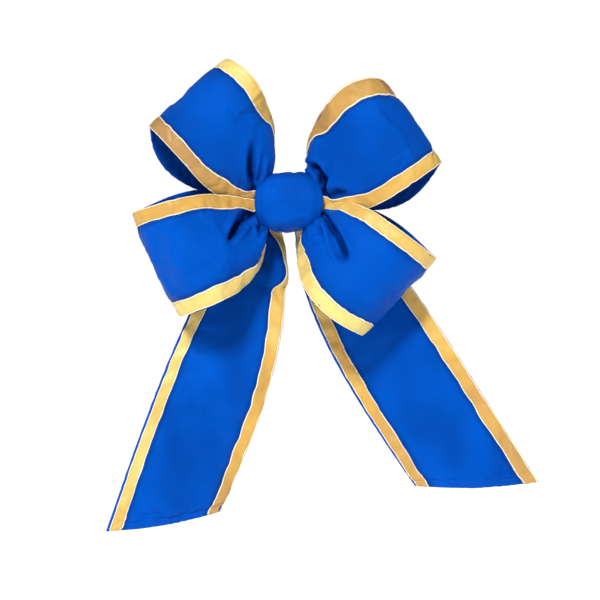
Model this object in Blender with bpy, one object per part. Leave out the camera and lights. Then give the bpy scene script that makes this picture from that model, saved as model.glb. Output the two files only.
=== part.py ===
"""Pre-made gift bow: four padded loops and two padded tails on a padded centre knot.

Metres, +Z up, the front of the bow faces -Y. The origin is the middle of the
back pad's rear face, which rests against the gift, wall or wreath.
Every padded ribbon is a fabric sleeve with batting inside it and two gold
trims sewn along the edges of its outer face.
"""

import math

import bmesh
import bpy
from mathutils import Vector

# Driving dimensions, in metres.
RIBBON_WIDTH = 0.133
PAD_THICKNESS = 0.008
FABRIC = 0.0008
GAP = 0.00035
TRIM_WIDTH = 0.019
TRIM_THICKNESS = 0.0006
BACK_PAD_SIZE = (0.056, 0.040)
BACK_PAD_THICKNESS = 0.002
HANGER_TAPE = 0.0022
KNOT_HALF_HEIGHT = 0.0335
KNOT_HALF_DEPTH = 0.0295
KNOT_PAD = 0.009
KNOT_FRONT_HALF_WIDTH = 0.042
KNOT_SIDE_HALF_WIDTH = 0.0220

# Depths that follow from them.
TAIL_DEPTH = -(BACK_PAD_THICKNESS + GAP + PAD_THICKNESS / 2)
KNOT_BACK = TAIL_DEPTH - PAD_THICKNESS / 2 - GAP
KNOT_Y = KNOT_BACK - KNOT_PAD / 2 - KNOT_HALF_DEPTH

# Across a ribbon t runs from -1 at one edge to 1 at the other. Its flat faces end at
# FLAT_T and the trims reach in to TRIM_T. SEAM is how far the stitched edge takes the
# inside of the sleeve in, and BATTING_INSET how far the batting stays from the edge.
FLAT_T = 0.97
TRIM_T = FLAT_T - TRIM_WIDTH / (RIBBON_WIDTH / 2)
SEAM = 0.0015
BATTING_INSET = 0.003

# Rings of points along each ribbon.
LOOP_STATIONS = 21
TAIL_STATIONS = 12
KNOT_STATIONS = 25

# Half the distance between a loop's front and rear layers at its neck.
NECK_HALF_GAP = 0.009
# Step in v and t over which a surface's slope is measured.
STEP = 0.001
MM = 0.001

# Each loop lies between its crown edge, away from the loop beside it, and its
# mouth edge. An edge is a Bezier curve in (x, z) millimetres, from the gathered
# neck in the knot to the fold. The mouth's rear layer stands out past the front
# one. Lean is how far the fold comes forward of the knot's centre; bulges are
# how far each layer swells from the middle.
LOOPS = {
    "upper_left": {
        "crown": ((-29, 20), (-31, 80), (-2, 135), (-76, 177)),
        "mouth": ((-36, 4), (-90, 3), (-118, 25), (-173, 92)),
        "rear_mouth": ((-36, 4), (-78, 4), (-173, 11), (-173, 92)),
        "lean": 10,
        "bulges": (64, 41),
    },
    "lower_left": {
        "crown": ((-29, -20), (-36, -95), (-53, -120), (-132, -143)),
        "mouth": ((-36, -4), (-80, -6), (-100, 22), (-192, -14)),
        "rear_mouth": ((-36, -4), (-80, -4), (-110, 38), (-192, -14)),
        "lean": 25,
        "bulges": (64, 41),
    },
    "upper_right": {
        "crown": ((29, 20), (30, 76), (37, 156), (116, 150)),
        "mouth": ((36, 2), (84, -14), (112, -16), (189, 47)),
        "rear_mouth": ((36, 2), (94, -8), (147, -32), (189, 47)),
        "lean": 10,
        "bulges": (64, 41),
    },
    "lower_right": {
        "crown": ((31, -21), (22, -84), (-2, -130), (90, -166)),
        "mouth": ((37, -7), (88, -22), (110, -2), (183, -70)),
        "rear_mouth": ((37, -7), (88, -20), (122, 2), (183, -70)),
        "lean": 25,
        "bulges": (64, 41),
    },
}

# Each tail lies between its inner and outer edge, from behind the knot to its
# slanted end. Twist is how far forward the outer edge has come at the end.
TAILS = {
    "left": {
        "inner": ((-6, 10), (0, -105), (2, -185), (-86, -390)),
        "outer": ((-38, 10), (-105, -70), (-172, -240), (-228, -412)),
        "twist": 36,
    },
    "right": {
        "inner": ((6, 10), (2, -90), (40, -180), (160, -358)),
        "outer": ((38, 10), (110, -20), (180, -140), (315, -352)),
        "twist": 8,
    },
}
TAIL_BOW = 0.012
TAIL_PIVOT_X = 0.022


def clear_scene():
    for obj in list(bpy.data.objects):
        bpy.data.objects.remove(obj)


def new_collection(name):
    collection = bpy.data.collections.new(name)
    bpy.context.scene.collection.children.link(collection)
    return collection


def make_material(name, colour, roughness, metallic=0.0):
    material = bpy.data.materials.new(name)
    material.use_nodes = True
    shader = material.node_tree.nodes["Principled BSDF"]
    shader.inputs["Base Color"].default_value = (*colour, 1.0)
    shader.inputs["Roughness"].default_value = roughness
    shader.inputs["Metallic"].default_value = metallic
    return material


def new_object(name, data, parent, collection):
    obj = bpy.data.objects.new(name, data)
    obj.parent = parent
    collection.objects.link(obj)
    return obj


def new_empty(name, location):
    """An empty on a joint's axis, which the pieces of one body hang from."""
    empty = new_object(name, None, None, BOW)
    empty.location = location
    return empty


def bezier(points, f):
    """Point of a cubic Bezier in (x, z) millimetres at f, as metres in the y = 0 plane."""
    weights = ((1 - f) ** 3, 3 * f * (1 - f) ** 2, 3 * f * f * (1 - f), f**3)
    x = sum(w * p[0] for w, p in zip(weights, points))
    z = sum(w * p[1] for w, p in zip(weights, points))
    return Vector((x, 0, z)) * MM


def loop_surface(loop):
    """Middle surface of a loop. v runs from the front neck, -1, round the fold to the rear neck, 1."""
    front_bulge, rear_bulge = (b * MM for b in loop["bulges"])

    def point(v, t):
        reach = 1 - v * v
        mouth = bezier(loop["mouth" if v < 0 else "rear_mouth"], reach)
        crown = bezier(loop["crown"], reach)
        place = mouth.lerp(crown, (t + 1) / 2)
        bulge = front_bulge if v < 0 else rear_bulge
        swell = 2 * v * reach * reach * bulge
        place.y = KNOT_Y - loop["lean"] * MM * reach + swell + NECK_HALF_GAP * v
        return place

    return point


def tail_surface(tail):
    """Middle surface of a tail: v runs from its top at 0 to its slanted end at 1."""

    def point(v, t):
        place = bezier(tail["inner"], v).lerp(bezier(tail["outer"], v), (t + 1) / 2)
        twist = tail["twist"] * MM * v * v * (t + 1) / 2
        place.y = TAIL_DEPTH - TAIL_BOW * math.sin(math.pi * max(v, 0.0)) ** 3 - twist
        return place

    return point


def knot_surface(v, t):
    """Middle surface of the knot's wrap: v is the angle round the waist, from the back over the top."""
    cos_v, sin_v = math.cos(v), math.sin(v)
    power = 2 / 2.4
    y = math.copysign(abs(cos_v) ** power, cos_v) * KNOT_HALF_DEPTH
    z = math.copysign(abs(sin_v) ** power, sin_v) * KNOT_HALF_HEIGHT
    frontness = max(-cos_v, 0.0) ** 3
    flare = (KNOT_FRONT_HALF_WIDTH - KNOT_SIDE_HALF_WIDTH) * frontness
    half_width = KNOT_SIDE_HALF_WIDTH + flare
    tuck = 1 - 0.16 * frontness * abs(t) ** 2.5
    return Vector((t * half_width, KNOT_Y + y * tuck, z * tuck))


def outward(surface, v, t):
    """Unit normal of the surface, on the side that is the ribbon's outer face."""
    along = surface(v + STEP, t) - surface(v - STEP, t)
    across = surface(v, t + STEP) - surface(v, t - STEP)
    return along.cross(across).normalized()


def lattice_point(surface, sign, v, t, inset, offset):
    """Point at (v, t), inset from the side edges and lifted along the outer normal by offset."""
    half_width = (surface(v, 1) - surface(v, -1)).length / 2
    t_inset = t * (1 - inset / half_width)
    return surface(v, t_inset) + outward(surface, v, t_inset) * sign * offset


def section(surface, sign, v, thickness, inset):
    """Closed section of a padded ribbon: outer face, one edge, inner face, other edge."""
    half = thickness / 2
    outer = [(t, half) for t in (-FLAT_T, -TRIM_T, 0, TRIM_T, FLAT_T)]
    inner = [(t, -half) for t in (FLAT_T, 0, -FLAT_T)]
    points = [*outer, (1, 0), *inner, (-1, 0)]
    return [lattice_point(surface, sign, v, t, inset, offset) for t, offset in points]


def join_rings(mesh, rings):
    """Faces between each ring of vertices and the next."""
    for a, b in zip(rings, rings[1:]):
        for i in range(len(a)):
            j = (i + 1) % len(a)
            mesh.faces.new((a[i], a[j], b[j], b[i]))


def finish(name, mesh, material, parent, collection=None):
    """Object from a bmesh built in world space, hung from its body's empty."""
    bmesh.ops.triangulate(mesh, faces=mesh.faces, quad_method="FIXED")
    bmesh.ops.recalc_face_normals(mesh, faces=mesh.faces)
    bmesh.ops.translate(mesh, vec=-parent.location, verts=mesh.verts)
    data = bpy.data.meshes.new(name)
    mesh.to_mesh(data)
    mesh.free()
    data.materials.append(material)
    return new_object(name, data, parent, collection or BOW)


def loft(name, rows, material, parent):
    """Solid through rings of points, one after another, capped at both ends."""
    mesh = bmesh.new()
    rings = [[mesh.verts.new(p) for p in row] for row in rows]
    join_rings(mesh, rings)
    mesh.faces.new(rings[0][::-1])
    mesh.faces.new(rings[-1])
    return finish(name, mesh, material, parent)


def sleeve(name, outer_rows, inner_rows, closed_end, material, parent):
    """Fabric tube between outer and inner rings, open at both ends or a pocket with a closed end."""
    mesh = bmesh.new()
    outer = [[mesh.verts.new(p) for p in row] for row in outer_rows]
    inner = [[mesh.verts.new(p) for p in row] for row in inner_rows]
    join_rings(mesh, outer)
    join_rings(mesh, inner)
    join_rings(mesh, [outer[0], inner[0]])
    if closed_end:
        mesh.faces.new(outer[-1])
        mesh.faces.new(inner[-1])
    else:
        join_rings(mesh, [outer[-1], inner[-1]])
    return finish(name, mesh, material, parent)


def padded_ribbon(name, surface, stations, sign, parent, closed_end=False, pad=PAD_THICKNESS):
    """Fabric sleeve and the batting inside it. A closed end is a sewn pocket."""
    within = list(stations)
    if closed_end:
        within[-1] = stations[-1] - 0.02 * (stations[-1] - stations[0])
    outer = [section(surface, sign, v, pad, 0) for v in stations]
    inner = [section(surface, sign, v, pad - 2 * FABRIC, SEAM) for v in within]
    sleeve(f"{name}_cover", outer, inner, closed_end, BLUE, parent)
    if closed_end:
        within[-1] = stations[-1] - 0.03 * (stations[-1] - stations[0])
    filling = pad - 2 * (FABRIC + GAP)
    batting = [section(surface, sign, v, filling, BATTING_INSET) for v in within]
    loft(f"{name}_batting", batting, BATTING, parent)


def trim(name, surface, stations, sign, side, parent):
    """Gold trim on the ribbon's outer face, along the edge at t = side."""
    low, high = sorted((side * TRIM_T, side * FLAT_T))
    under = PAD_THICKNESS / 2 + GAP
    over = under + TRIM_THICKNESS
    corners = ((low, under), (high, under), (high, over), (low, over))
    rows = [
        [lattice_point(surface, sign, v, t, 0, offset) for t, offset in corners] for v in stations
    ]
    loft(name, rows, GOLD, parent)


def spaced(low, high, count):
    return [low + (high - low) * i / (count - 1) for i in range(count)]


def make_loop(side, loop):
    neck = (bezier(loop["crown"], 0) + bezier(loop["mouth"], 0)) / 2
    pivot = new_empty(f"{side}_loop_pivot", (neck.x, KNOT_Y, neck.z))
    surface = loop_surface(loop)
    stations = spaced(-1, 1, LOOP_STATIONS)
    sign = 1 if outward(surface, -0.5, 0).y < 0 else -1
    padded_ribbon(f"{side}_loop", surface, stations, sign, pivot)
    trim(f"{side}_loop_crown_trim", surface, stations, sign, 1, pivot)
    trim(f"{side}_loop_mouth_trim", surface, stations, sign, -1, pivot)


def make_tail(side, tail):
    x = math.copysign(TAIL_PIVOT_X, tail["outer"][0][0])
    pivot = new_empty(f"{side}_tail_pivot", (x, TAIL_DEPTH, 0))
    surface = tail_surface(tail)
    stations = spaced(0, 1, TAIL_STATIONS)
    sign = 1 if outward(surface, 0.5, 0).y < 0 else -1
    padded_ribbon(f"{side}_tail", surface, stations, sign, pivot, closed_end=True)
    trim_stations = [*stations[1:-1], stations[-1] - 0.004]
    trim(f"{side}_tail_outer_trim", surface, trim_stations, sign, 1, pivot)
    trim(f"{side}_tail_inner_trim", surface, trim_stations, sign, -1, pivot)


def make_knot(parent):
    seam_gap = 0.10
    stations = spaced(seam_gap, 2 * math.pi - seam_gap, KNOT_STATIONS)
    sign = 1 if outward(knot_surface, math.pi, 0).y < 0 else -1
    padded_ribbon("knot", knot_surface, stations, sign, parent, pad=KNOT_PAD)


def turned(name, profile, steps, material, parent, depth_scale):
    """Body turned about the X axis through the knot's centre, squeezed front to back."""
    mesh = bmesh.new()
    verts = [mesh.verts.new((x, 0, r)) for x, r in profile]
    for a, b in zip(verts, verts[1:]):
        mesh.edges.new((a, b))
    geometry = mesh.verts[:] + mesh.edges[:]
    turn = 2 * math.pi
    bmesh.ops.spin(
        mesh, geom=geometry, cent=(0, 0, 0), axis=(1, 0, 0), angle=turn, steps=steps, use_merge=True
    )
    bmesh.ops.remove_doubles(mesh, verts=mesh.verts, dist=1e-6)
    bmesh.ops.scale(mesh, vec=(1, depth_scale, 1), verts=mesh.verts)
    bmesh.ops.translate(mesh, vec=(0, KNOT_Y, 0), verts=mesh.verts)
    return finish(name, mesh, material, parent)


def make_gather(parent):
    """Core of bunched, stitched ribbon ends, and the cable tie cinched round its waist."""
    half_length, waist, end_radius, squeeze = 0.022, 0.012, 0.018, 0.75
    tie_half_width, tie_thickness = 0.0024, 0.0014
    flare = end_radius - waist
    core = [
        (x, waist + flare * (x / half_length) ** 2) for x in spaced(-half_length, half_length, 9)
    ]
    profile = [(-half_length, 0), *core, (half_length, 0)]
    turned("gather_core", profile, 20, BLUE, parent, squeeze)
    low = waist + 0.0008
    high = low + tie_thickness
    band = [
        (-tie_half_width, low),
        (tie_half_width, low),
        (tie_half_width, high),
        (-tie_half_width, high),
    ]
    tie = turned("gather_tie", [*band, band[0]], 28, PLASTIC, parent, squeeze)
    head_size = (0.0066, 0.006, 0.005)
    head_centre = (0, KNOT_Y, low + 0.0032)
    head = add_box("tie_head", head_size, head_centre, PLASTIC, parent, collection=HELPERS)
    head.hide_render = True
    join = tie.modifiers.new("Head", "BOOLEAN")
    join.operation = "UNION"
    join.object = head


def add_box(name, size, centre, material, parent, corner=0.0, collection=None):
    """Box of the given size, its front-to-back edges rounded by corner where that is more than 0."""
    mesh = bmesh.new()
    bmesh.ops.create_cube(mesh, size=1)
    bmesh.ops.scale(mesh, vec=size, verts=mesh.verts)
    if corner:
        along_y = [e for e in mesh.edges if abs(e.verts[0].co.y - e.verts[1].co.y) > size[1] / 2]
        bmesh.ops.bevel(mesh, geom=along_y, offset=corner, segments=4, profile=0.5, affect="EDGES")
    bmesh.ops.translate(mesh, vec=centre, verts=mesh.verts)
    return finish(name, mesh, material, parent, collection)


def make_back(parent):
    """Stiff felt pad over the stitching behind the knot, and the hanging loop sewn to its top edge."""
    width, height = BACK_PAD_SIZE
    size = (width, BACK_PAD_THICKNESS, height)
    add_box("back_pad", size, (0, -BACK_PAD_THICKNESS / 2, 0), FELT, parent, corner=0.006)
    leg_x, foot, rise = 0.0085, height / 2 + GAP, 0.006
    top = foot + rise
    arc = [(leg_x * math.cos(a), top + leg_x * math.sin(a)) for a in spaced(0, math.pi, 11)]
    line = [(leg_x, foot), *arc, (-leg_x, foot)]
    rows = [hanger_section(line, i) for i in range(len(line))]
    loft("hanging_loop", rows, WEBBING, parent)


def hanger_section(line, i):
    """Rectangle across the hanging loop's line at point i, as deep as the pad is thick."""
    before, after = line[max(i - 1, 0)], line[min(i + 1, len(line) - 1)]
    along = Vector((after[0] - before[0], 0, after[1] - before[1])).normalized()
    across = along.cross(Vector((0, 1, 0))) * HANGER_TAPE / 2
    rear = Vector((line[i][0], 0, line[i][1]))
    front = rear - Vector((0, BACK_PAD_THICKNESS, 0))
    return [rear - across, rear + across, front + across, front - across]


clear_scene()
BOW = new_collection("gift_bow")
HELPERS = new_collection("boolean_helpers")
BLUE = make_material("blue_fabric", (0.0, 0.095, 0.62), 0.62)
GOLD = make_material("gold_trim", (0.83, 0.57, 0.17), 0.38, 0.35)
BATTING = make_material("batting", (0.86, 0.86, 0.84), 0.95)
FELT = make_material("felt", (0.01, 0.05, 0.3), 0.95)
WEBBING = make_material("webbing", (0.01, 0.06, 0.36), 0.8)
PLASTIC = make_material("tie_plastic", (0.8, 0.8, 0.78), 0.45)

knot_root = new_empty("knot_root", (0, 0, 0))
make_knot(knot_root)
make_gather(knot_root)
make_back(knot_root)
for loop_side, loop_shape in LOOPS.items():
    make_loop(loop_side, loop_shape)
for tail_side, tail_shape in TAILS.items():
    make_tail(tail_side, tail_shape)
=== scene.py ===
import math

import bmesh
import bpy
import numpy as np
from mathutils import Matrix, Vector, noise


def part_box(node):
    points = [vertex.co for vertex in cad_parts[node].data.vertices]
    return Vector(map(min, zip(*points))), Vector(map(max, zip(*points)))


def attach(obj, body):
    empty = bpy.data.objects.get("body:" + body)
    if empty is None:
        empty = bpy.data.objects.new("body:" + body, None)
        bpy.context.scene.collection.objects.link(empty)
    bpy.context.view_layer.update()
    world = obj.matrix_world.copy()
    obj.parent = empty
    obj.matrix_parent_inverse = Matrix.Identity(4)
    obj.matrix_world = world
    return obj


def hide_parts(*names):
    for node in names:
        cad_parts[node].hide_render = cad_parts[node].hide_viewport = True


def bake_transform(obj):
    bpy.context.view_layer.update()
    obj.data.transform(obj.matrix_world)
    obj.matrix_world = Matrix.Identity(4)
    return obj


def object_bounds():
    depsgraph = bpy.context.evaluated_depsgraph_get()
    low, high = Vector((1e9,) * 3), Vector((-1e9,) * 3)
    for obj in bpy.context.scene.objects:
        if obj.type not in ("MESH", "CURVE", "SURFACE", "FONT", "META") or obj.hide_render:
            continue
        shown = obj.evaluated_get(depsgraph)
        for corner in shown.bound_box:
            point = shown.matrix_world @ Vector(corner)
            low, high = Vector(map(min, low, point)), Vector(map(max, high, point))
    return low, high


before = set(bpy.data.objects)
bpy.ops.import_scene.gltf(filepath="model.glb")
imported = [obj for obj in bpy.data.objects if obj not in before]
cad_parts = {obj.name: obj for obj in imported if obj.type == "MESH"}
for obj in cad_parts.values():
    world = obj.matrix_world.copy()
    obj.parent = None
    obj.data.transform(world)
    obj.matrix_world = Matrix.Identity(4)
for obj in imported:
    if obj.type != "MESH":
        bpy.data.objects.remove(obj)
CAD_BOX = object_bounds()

# The look of the padded gift bow. Every ribbon is a grid of points, rings along its
# length by columns round its sleeve. Cloth simulation swells and wrinkles the grid,
# and the gold trims are then laid on the swollen surface.

MM = 0.001
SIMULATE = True

# Driving dimensions, as in the CAD. Lengths of ribbon shapes are in millimetres.
KNOT_LOW, KNOT_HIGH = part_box("knot_cover")
KNOT_Y = (KNOT_LOW.y + KNOT_HIGH.y) / 2 / MM
KNOT_HALF_DEPTH = (KNOT_HIGH.y - KNOT_LOW.y) / 2 / MM
KNOT_HALF_WIDTH = (KNOT_HIGH.x - KNOT_LOW.x) / 2 / MM
KNOT_HALF_HEIGHT = (KNOT_HIGH.z - KNOT_LOW.z) / 2 / MM
PAD_LOW, PAD_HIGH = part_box("back_pad")
TAIL_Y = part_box("left_tail_cover")[1].y / MM - 4
NECK_HALF_GAP = 9
TRIM_WIDTH = 19
HEM = 10

# Edges of each loop as cubic Bezier curves in (x, z), from the neck to the fold. Lean
# is how far forward the fold stands, and bulges set how far the front and the rear
# wall swell out from the middle, each by up to 0.57 of its number. The crown edge
# rolls back: curl gives the reaches where it is rolled fully and not at all, and its
# angle in degrees. Crown_width is the width of the crown trim. A crease is a curve of
# three points in (x, z) from the knot outwards, its depth, its widths at both ends
# and how far along it keeps its depth; its valley also gets painted shade. Tones are
# painted light on the gold trims, from 0, pale as if lit, to 1, tan as if shaded, at
# the neck and at the fold.
LOOPS = {
    "upper_left": {
        "crown": ((-29, 20), (-13, 62), (-9, 145), (-76, 177)),
        "mouth": ((-36, 1), (-110, -2), (-95, 17), (-173, 92)),
        "rear_mouth": ((-36, 4), (-63, 0), (-175, 11), (-173, 92)),
        "lean": 10,
        "bulges": (64, 41),
        "curl": (0.24, 0.70, 195),
        "crown_width": 19,
        "creases": (
            ((-40, 8), (-52, 36), (-38, 82), 15, 3.4, 5.0, 0.5),
            ((-40, 20), (-33, 38), (-32, 68), 7, 2.6, 3.2, 0.4),
            ((-42, 9), (-52, 17), (-64, 24), 5, 3.0, 4.0, 0.3),
        ),
        "painted_light_tones": {"crown": (0.9, 0.0), "mouth": (0.75, 0.9)},
    },
    "lower_left": {
        "crown": ((-29, -20), (-33, -93), (-45, -117), (-132, -143)),
        "mouth": ((-36, 1), (-90, 12), (-108, 11), (-192, -14)),
        "rear_mouth": ((-36, 0), (-86, 18), (-115, 30), (-192, -14)),
        "lean": 25,
        "bulges": (64, 41),
        "curl": (-0.02, 0.76, 195),
        "crown_width": 20,
        "creases": (
            ((-46, -9), (-64, -30), (-73, -54), 18, 6.0, 3.4, 0.6),
            ((-41, -12), (-36, -27), (-31, -52), 8, 3.0, 3.4, 0.4),
            ((-42, -10), (-50, -22), (-50, -38), 6, 2.6, 3.4, 0.3),
        ),
        "painted_light_tones": {"crown": (0.15, 0.0), "mouth": (0.55, 0.6)},
    },
    "upper_right": {
        "crown": ((29, 20), (14, 78), (50, 162), (116, 150)),
        "mouth": ((36, -4), (96, -22), (108, -12), (189, 47)),
        "rear_mouth": ((36, -2), (94, -8), (146, -31), (189, 47)),
        "lean": 10,
        "bulges": (64, 41),
        "curl": (0.14, 0.57, 195),
        "crown_width": 26,
        "creases": (
            ((26, 45), (45, 42), (43, 6), 14, 3.2, 4.0, 1.0),
            ((45, 4), (58, 15), (80, 5), 7, 4.0, 4.6, 0.5),
            ((44, 20), (52, 34), (50, 52), 5, 3.0, 4.0, 0.2),
        ),
        "painted_light_tones": {"crown": (0.9, 0.8), "mouth": (0.5, 0.35)},
    },
    "lower_right": {
        "crown": ((27, -22), (-4, -74), (8, -131), (90, -166)),
        "mouth": ((37, -6), (96, 10), (105, -17), (183, -70)),
        "rear_mouth": ((37, -7), (100, 10), (147, -28), (183, -70)),
        "lean": 25,
        "bulges": (64, 41),
        "curl": (0.03, 0.50, 105),
        "crown_width": 20,
        "creases": (
            ((41, -14), (60, -36), (72, -77), 15, 3.0, 4.6, 0.8),
            ((49, -26), (52, -60), (69, -78), 8, 2.6, 3.2, 0.7),
            ((38, -22), (38, -40), (44, -56), 6, 3.0, 3.6, 0.2),
        ),
        "painted_light_tones": {"crown": (0.2, 0.0), "mouth": (0.5, 0.1)},
    },
}
# Edges of each tail from the knot to its end, how far forward its outer edge twists
# there, how far its trims lie in from its edges, and where its inner edge rolls back:
# the middle and the half length of that stretch, as the curves run from 0 to 1, and
# its angle in degrees. Tones are painted light on its gold trims, from 0, pale as if
# lit, to 1, tan as if shaded, at the top and at the end.
TAILS = {
    "left": {
        "inner": ((-16, 10), (4, -100), (10, -185), (-86, -390)),
        "outer": ((-38, 10), (-105, -70), (-172, -240), (-228, -412)),
        "twist": 36,
        "insets": {"inner": 0.8, "outer": 4.0},
        "roll": (0.26, 0.15, 200),
        "painted_light_tones": {"inner": (0.1, 0.75), "outer": (0.1, 0.42)},
    },
    "right": {
        "inner": ((10, 10), (-4, -90), (34, -180), (160, -358)),
        "outer": ((38, 10), (110, -20), (180, -140), (315, -352)),
        "twist": 8,
        "insets": {"inner": 3.0, "outer": 0.8},
        "roll": (0.2, 0.15, 40),
        "painted_light_tones": {"inner": (0.1, 0.78), "outer": (0.05, 0.7)},
    },
}
# How far forward a tail bows half way down.
TAIL_BOW = 12


# ---------------------------------------------------------------- curves and grids


def smoothstep(low, high, x):
    """Smooth rise from 0 at low to 1 at high, which may be the smaller of the two."""
    f = np.clip((x - low) / (high - low), 0, 1)
    return f * f * (3 - 2 * f)


def bezier(points, f):
    """Points of a cubic Bezier at each f."""
    f = np.asarray(f)[:, None]
    weights = ((1 - f) ** 3, 3 * f * (1 - f) ** 2, 3 * f * f * (1 - f), f**3)
    return sum(w * np.array(p, float) for w, p in zip(weights, points))


def evenly(curve_of, low, high, count):
    """Parameters from low to high whose points lie at even distances along a curve."""
    dense = np.linspace(low, high, 600)
    steps = np.linalg.norm(np.diff(curve_of(dense), axis=0), axis=1)
    walked = np.concatenate([[0], np.cumsum(steps)])
    return np.interp(np.linspace(0, walked[-1], count), walked, dense)


def normals_of(grid):
    """Unit normals of a grid of points, which points away from along x across."""
    along = np.gradient(grid, axis=0)
    across = np.gradient(grid, axis=1)
    normal = np.cross(along, across)
    return normal / np.maximum(np.linalg.norm(normal, axis=2, keepdims=True), 1e-9)


def refine(grid, axis, closed=False):
    """Grid with a smooth midpoint put between each two neighbours along an axis."""
    moved = np.moveaxis(grid, axis, 0)
    if closed:
        padded = np.concatenate([moved[-1:], moved, moved[:2]])
    else:
        first = 2 * moved[:1] - moved[1:2]
        last = 2 * moved[-1:] - moved[-2:-1]
        padded = np.concatenate([first, moved, last])
    middle = (9 * (padded[1:-2] + padded[2:-1]) - padded[:-3] - padded[3:]) / 16
    count = len(moved)
    out = np.empty((count + len(middle), *moved.shape[1:]))
    out[0::2] = moved
    out[1::2] = middle
    return np.moveaxis(out, 0, axis)


def soft_noise(points, size, seed):
    """Smooth noise from -1 to 1 at each point of a grid, with features of about size millimetres."""
    flat = points.reshape(-1, 3) / size
    shift = Vector((seed * 7.1, seed * 3.7, seed * 5.3))
    values = [noise.noise(Vector(p) + shift) for p in flat]
    return np.array(values).reshape(points.shape[:-1])


# ---------------------------------------------------------------- ribbon surfaces

TRIM_STEPS, MIDDLE_STEPS = 6, 24
LOOP_RINGS, TAIL_RINGS, KNOT_RINGS = 88, 76, 56
FULLEST = 3.9


def columns(share_low, share_high):
    """Positions across each ring, from 0 to 1, with whole columns on both trims' inner lines."""
    rows = []
    for low, high in zip(share_low, share_high):
        rows.append(
            np.concatenate(
                [
                    np.linspace(0, low, TRIM_STEPS + 1)[:-1],
                    np.linspace(low, 1 - high, MIDDLE_STEPS + 1)[:-1],
                    np.linspace(1 - high, 1, TRIM_STEPS + 1),
                ]
            )
        )
    return np.array(rows)


def rolled(across, curl, start=0.62):
    """How far sideways and how deep each position lies when the width beyond start rolls back.

    Curl is the angle in radians that it rolls through.
    """
    part = 1 - start
    curl = np.maximum(curl, 1e-3)[:, None]
    beyond = np.clip(across - start, 0, None)
    angle = curl * beyond / part
    sideways = np.minimum(across, start) + part / curl * np.sin(angle)
    deep = part / curl * (1 - np.cos(angle))
    widest = start + part / curl * np.sin(np.minimum(curl, math.pi / 2))
    return sideways / widest, deep / widest


def trim_share(width, reach, neck_width, most, full=TRIM_WIDTH):
    """Share of the width that a trim takes. Near the neck it is gathered narrower."""
    wide = neck_width + (full - neck_width) * smoothstep(0.06, 0.45, reach)
    return np.minimum(wide / width, most)


def loop_middle(shape):
    """Middle surface of a loop: its grid, positions across it, and reaches and sides of its rings."""

    def centre(v):
        return loop_points(shape, v, np.full((len(v), 1), 0.5))[:, 0]

    v = evenly(centre, -1, 1, LOOP_RINGS)
    reach = 1 - v * v
    mouth, crown = loop_edges(shape, v)
    width = np.linalg.norm(crown - mouth, axis=1)
    crown_share = trim_share(width, reach, 6, 0.28, shape["crown_width"])
    across = columns(trim_share(width, reach, 11.5, 0.46), crown_share)
    return loop_points(shape, v, across), across, reach, v


def loop_edges(shape, v):
    reach = 1 - v * v
    front = bezier(shape["mouth"], reach)
    rear = bezier(shape["rear_mouth"], reach)
    return np.where(v[:, None] < 0, front, rear), bezier(shape["crown"], reach)


def loop_points(shape, v, across):
    reach = 1 - v * v
    mouth, crown = loop_edges(shape, v)
    width = np.linalg.norm(crown - mouth, axis=1)[:, None]
    side = np.where(v < 0, -1.0, 1.0)[:, None]
    full, none, degrees = shape["curl"]
    part = np.clip((none - reach) / (none - full), 0, 1)
    curl = math.radians(degrees) * part * np.where(v < 0, 1, 0.45)
    sideways, deep = rolled(across, curl)
    plane = mouth[:, None] + sideways[:, :, None] * (crown - mouth)[:, None]
    bulge = np.where(v < 0, *shape["bulges"])
    forward = shape["lean"] * np.sin(math.pi / 2 * reach)
    depth = KNOT_Y - forward + 2 * v * reach**2 * bulge + NECK_HALF_GAP * v
    crowned = 3.5 * np.sin(math.pi * across) * (1 - reach**6)[:, None]
    y = depth[:, None] + side * (crowned - deep * width)
    return np.stack([plane[:, :, 0], y, plane[:, :, 1]], axis=2)


def gathers(across, reach, seed):
    """Height of the small pleats that run out from the neck between the trims, in millimetres."""
    near = smoothstep(0.42, 0.02, reach)[:, None]
    pleats = np.cos(2 * math.pi * (5 * across + 0.17 * seed) + 2 * reach[:, None])
    trim_line = across[:, TRIM_STEPS, None]
    return 2.0 * near * pleats * smoothstep(trim_line * 0.8, trim_line * 1.5, across)


def creased(grid, creases):
    """Height of deep creases at each point of a grid: a valley with a soft ridge on both sides."""
    flat = grid[:, :, [0, 2]]
    lift = np.zeros(flat.shape[:2])
    s = np.linspace(0, 1, 32)
    for start, bend, end, depth, first, last, hold in creases:
        weights = ((1 - s) ** 2, 2 * s * (1 - s), s * s)
        line = sum(w[:, None] * np.array(p, float) for w, p in zip(weights, (start, bend, end)))
        far = np.linalg.norm(flat[:, :, None] - line, axis=3)
        nearest = s[far.argmin(axis=2)]
        offset = far.min(axis=2) / (first + (last - first) * nearest)
        window = smoothstep(1.02, hold - 0.02, nearest) * (0.6 + 0.4 * smoothstep(0, 0.3, nearest))
        lift += depth * window * (0.32 * np.exp(-((offset - 2.1) ** 2)) - np.exp(-(offset**2)))
    return lift


def tail_middle(shape):
    """Middle surface of a tail: its grid, positions across it, v along it and what is left.

    What is left is each ring's distance from the tail's end in millimetres.
    """

    def centre(v):
        return tail_points(shape, v, np.full((len(v), 1), 0.5))[:, 0]

    dense = np.linspace(0, 1, 600)
    walked = np.concatenate([[0], np.cumsum(np.linalg.norm(np.diff(centre(dense), axis=0), axis=1))])
    length = walked[-1]
    hem_rings = 13
    fine_from = length - 24
    above = np.linspace(0, fine_from, TAIL_RINGS - hem_rings + 1)[:-1]
    at = np.concatenate([above, np.linspace(fine_from, length, hem_rings)])
    v = np.interp(at, walked, dense)
    width = np.linalg.norm(bezier(shape["outer"], v) - bezier(shape["inner"], v), axis=1)
    share = np.minimum(TRIM_WIDTH / width, 0.26)
    across = columns(share, share)
    return tail_points(shape, v, across), across, v, length - at


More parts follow.
